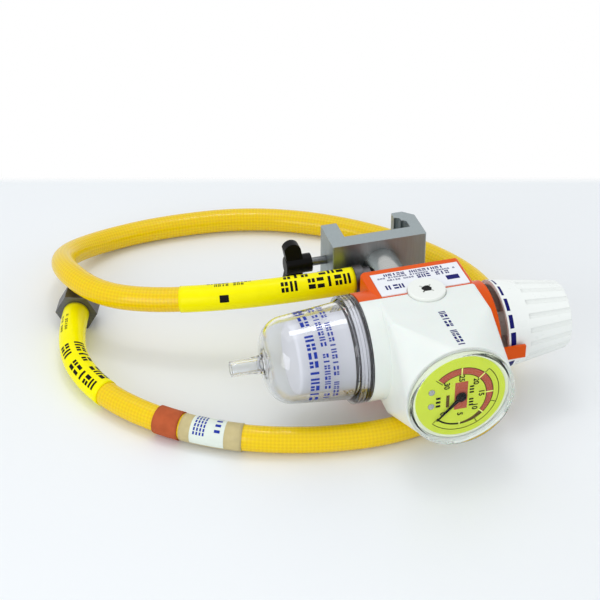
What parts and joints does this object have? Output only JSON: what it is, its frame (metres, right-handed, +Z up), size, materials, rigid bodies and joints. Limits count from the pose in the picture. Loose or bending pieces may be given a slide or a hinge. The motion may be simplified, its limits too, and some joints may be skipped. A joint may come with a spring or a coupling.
{
  "type": "vacuum regulator",
  "caption": "Low-vacuum wall regulator: square-to-round housing with gauge, fluted control knob, clear filter jar, rail clamp and a supply hose that ends in a gas probe.",
  "frame": {"origin": "middle of the rail seat of the clamp", "axes": "+X along the control knob's axis, towards the knob; +Y out of the seat, towards the wall rail; +Z up"},
  "size_m": [0.2617, 0.2697, 0.0742],
  "materials": {
    "white_plastic": "satin moulded",
    "orange_plastic": "satin moulded",
    "label_film": "printed film",
    "zinc_screw": "satin",
    "clear_plastic": "clear moulded",
    "lime_dial": "printed",
    "black_pointer": "matt",
    "filter_white": "sintered",
    "dark_rubber": "matt",
    "aluminium": "extruded, anodised",
    "steel": "turned",
    "brass": "turned",
    "zinc_cast": "die cast",
    "black_plastic": "moulded",
    "hose_yellow": "braid under a clear skin",
    "yellow_film": "wrapped label film",
    "tan_film": "clear shrink sleeve over yellow",
    "red_film": "satin",
    "grey_metal": "satin"
  },
  "bodies": {
    "housing": {"front_cover": "white_plastic", "rear_cover": "orange_plastic", "label_plate": "label_film", "cover_screws": "zinc_screw", "index_ring": "orange_plastic", "regulator_block": "zinc_cast", "diaphragm": "dark_rubber", "diaphragm_plate": "aluminium", "bonnet": "zinc_cast", "bonnet_screws": "steel", "control_spring": "steel", "valve_seat": "brass", "valve_spring": "steel", "gauge_case": "steel", "gauge_socket": "brass", "bourdon_tube": "brass", "gauge_movement": "brass", "gauge_dial": "lime_dial", "dial_screws": "steel", "gauge_lens": "clear_plastic", "jar_seal": "dark_rubber", "jar_adaptor": "black_plastic", "rail_clamp": "aluminium", "boss_screw": "steel", "boss": "steel", "hose_tail": "steel", "vacuum_hose": "hose_yellow", "hose_ferrule": "steel", "near_label_sleeve": "yellow_film", "far_label_sleeve": "yellow_film", "red_band": "red_film", "tag_sleeve": "tan_film", "probe_collar": "grey_metal", "probe_body": "steel", "probe_seal": "dark_rubber"},
    "knob": {"control_knob": "white_plastic", "adjusting_spindle": "steel"},
    "carrier": {"spring_carrier": "brass"},
    "valve": {"valve_pin": "steel"},
    "pointer": {"gauge_pointer": "black_pointer"},
    "filter": {"filter_element": "filter_white"},
    "jar": {"filter_jar": "clear_plastic"},
    "clamp_foot": {"clamp_pad": "black_plastic"},
    "clamp_handle": {"clamp_screw": "steel", "clamp_knob": "black_plastic"}
  },
  "joints": [
    {"name": "knob_turn", "type": "hinge", "parent": "housing", "child": "knob", "pos_m": [0.045, -0.083, 0], "axis": [1, 0, 0], "range_deg": [-285, 15]},
    {"name": "carrier_travel", "type": "slide", "parent": "housing", "child": "carrier", "axis": [1, 0, 0], "range_m": [-0.00013, 0.00238], "deforming": ["control_spring"]},
    {"name": "valve_lift", "type": "slide", "parent": "housing", "child": "valve", "axis": [-1, 0, 0], "range_m": [0, 0.0008], "deforming": ["valve_spring"]},
    {"name": "pointer_turn", "type": "hinge", "parent": "housing", "child": "pointer", "pos_m": [0, -0.138, 0], "axis": [0, -1, 0], "range_deg": [0, 275]},
    {"name": "jar_travel", "type": "slide", "parent": "housing", "child": "filter", "axis": [-1, 0, 0], "range_m": [0, 0.0045]},
    {"name": "jar_turn", "type": "hinge", "parent": "filter", "child": "jar", "pos_m": [-0.05, -0.083, 0], "axis": [-1, 0, 0], "range_deg": [0, 540]},
    {"name": "clamp_travel", "type": "slide", "parent": "housing", "child": "clamp_foot", "axis": [1, 0, 0], "range_m": [0, 0.0085]},
    {"name": "clamp_turn", "type": "hinge", "parent": "clamp_foot", "child": "clamp_handle", "pos_m": [-0.04, 0.0042, 0], "axis": [1, 0, 0], "range_deg": [0, 3825]}
  ],
  "couplings": [
    {"joint": "carrier_travel", "follows": "knob_turn", "m_per_rad": -0.00047746},
    {"joint": "jar_travel", "follows": "jar_turn", "m_per_rad": 0.00047746},
    {"joint": "clamp_travel", "follows": "clamp_turn", "m_per_rad": 0.00012732}
  ]
}
